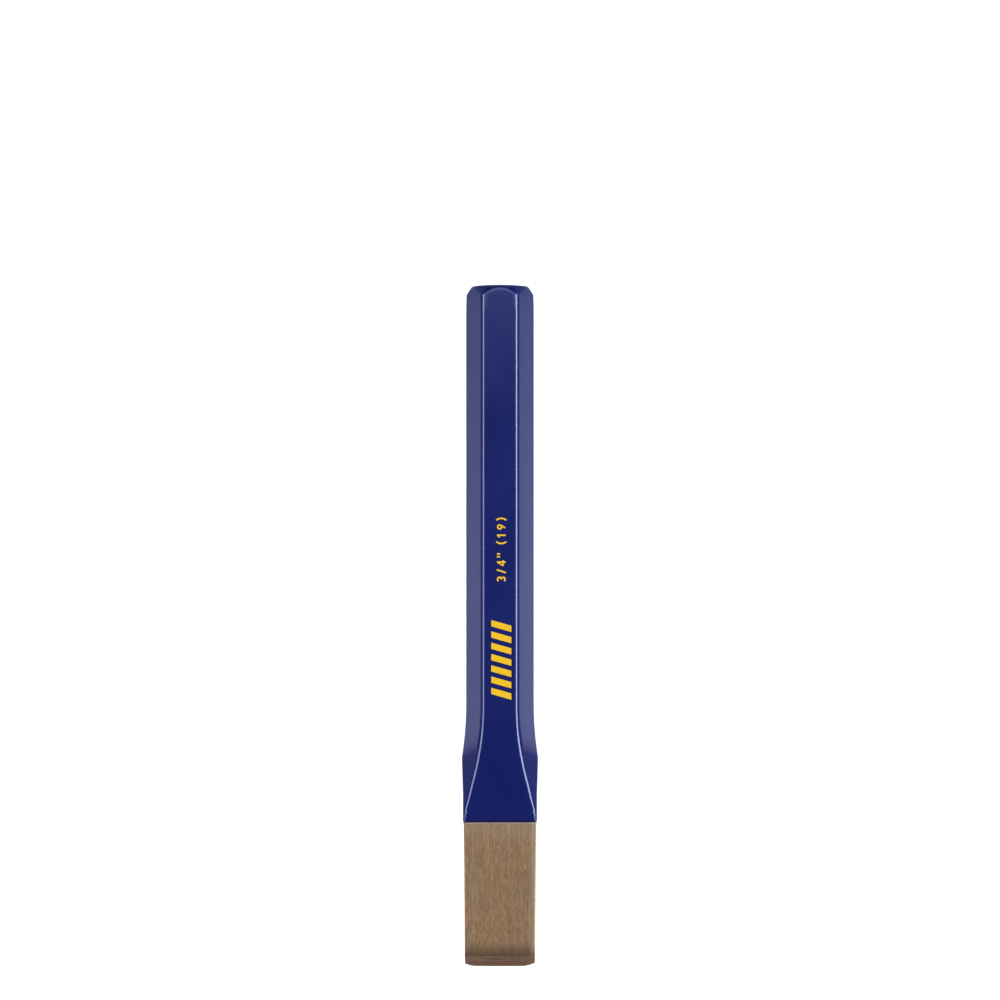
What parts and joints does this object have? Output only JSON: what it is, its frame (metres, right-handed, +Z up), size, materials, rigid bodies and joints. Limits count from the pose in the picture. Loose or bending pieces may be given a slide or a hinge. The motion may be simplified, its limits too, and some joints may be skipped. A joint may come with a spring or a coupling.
{
  "type": "flat cold chisel",
  "caption": "Flat cold chisel for brick and block: hexagon bar shank with a chamfered struck head, flared into a ground wedge blade, enamelled down to the blade.",
  "frame": {"origin": "middle of the object's plan view at the level it rests on, below the axis of the bar", "axes": "+Y along the bar towards the struck head, -Y towards the cutting edge, +X across the wide faces of the blade, +Z up, square to the wide faces, with the printed marks on the upper flat"},
  "size_m": [0.0206, 0.1841, 0.0162],
  "materials": {
    "steel": "ground and oiled, darkened by tempering",
    "blade_finish": "ground steel under clear bronze-toned lacquer",
    "enamel": "gloss dark blue enamel",
    "print": "yellow printing ink"
  },
  "bodies": {
    "root": {"forged_chisel": "steel", "enamel_coat": "enamel", "blade_lacquer": "blade_finish", "size_figures": "print", "hatch_emblem": "print"}
  },
  "joints": []
}
